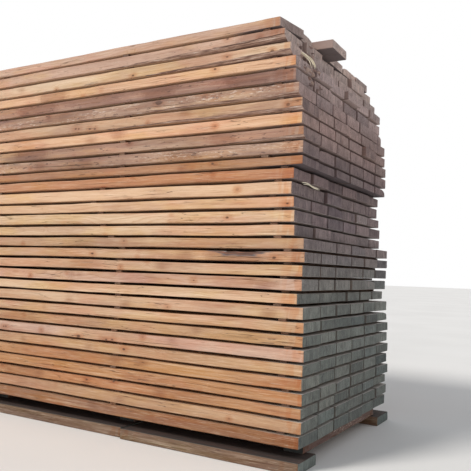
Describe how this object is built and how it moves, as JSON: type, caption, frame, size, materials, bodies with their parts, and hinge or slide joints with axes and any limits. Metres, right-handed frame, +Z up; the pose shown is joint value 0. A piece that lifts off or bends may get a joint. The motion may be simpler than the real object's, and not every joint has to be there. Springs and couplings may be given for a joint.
{
  "type": "stack of lumber",
  "caption": "Rectangular drying stack of rough-sawn softwood boards, layered on thin cross laths over bearers and ground planks, with ragged board ends.",
  "frame": {"origin": "on the ground under the middle of the stack's bounding box", "axes": "+X along the boards towards the ragged end, -Y out of the long face that shows, +Z up"},
  "size_m": [4.1776, 1.282, 2.007],
  "materials": {
    "pale_board": "rough sawn",
    "tan_board": "rough sawn",
    "orange_board": "rough sawn",
    "grey_board": "rough sawn, weathered",
    "lath": "rough sawn",
    "base_timber": "weathered, dirty"
  },
  "bodies": {
    "root": {"board_layer_01": "orange_board", "board_layer_02": "orange_board", "board_layer_03": "orange_board", "board_layer_04": "orange_board", "board_layer_05": "orange_board", "board_layer_06": "orange_board", "board_layer_07": "pale_board", "board_layer_08": "orange_board", "board_layer_09": "pale_board", "board_layer_10": "pale_board", "board_layer_11": "pale_board", "board_layer_12": "pale_board", "board_layer_13": "pale_board", "board_layer_14": "tan_board", "board_layer_15": "tan_board", "board_layer_16": "pale_board", "board_layer_17": "pale_board", "board_layer_18": "pale_board", "board_layer_19": "pale_board", "board_layer_20": "orange_board", "board_layer_21": "orange_board", "board_layer_22": "grey_board", "board_layer_23": "grey_board", "board_layer_24": "pale_board", "board_layer_25": "tan_board", "board_layer_26": "grey_board", "board_layer_27": "grey_board", "board_layer_28": "orange_board", "board_layer_29": "orange_board", "board_layer_30": "tan_board", "board_layer_31": "tan_board", "cross_bearer_1": "base_timber", "cross_bearer_2": "base_timber", "cross_bearer_3": "base_timber", "cross_bearer_4": "base_timber", "cross_bearer_5": "base_timber", "ground_plank_back": "base_timber", "ground_plank_far": "base_timber", "ground_plank_near": "base_timber", "lath_line_1": "lath", "lath_line_2": "lath", "lath_line_3": "lath", "lath_line_4": "lath", "lath_line_5": "lath"}
  },
  "joints": []
}
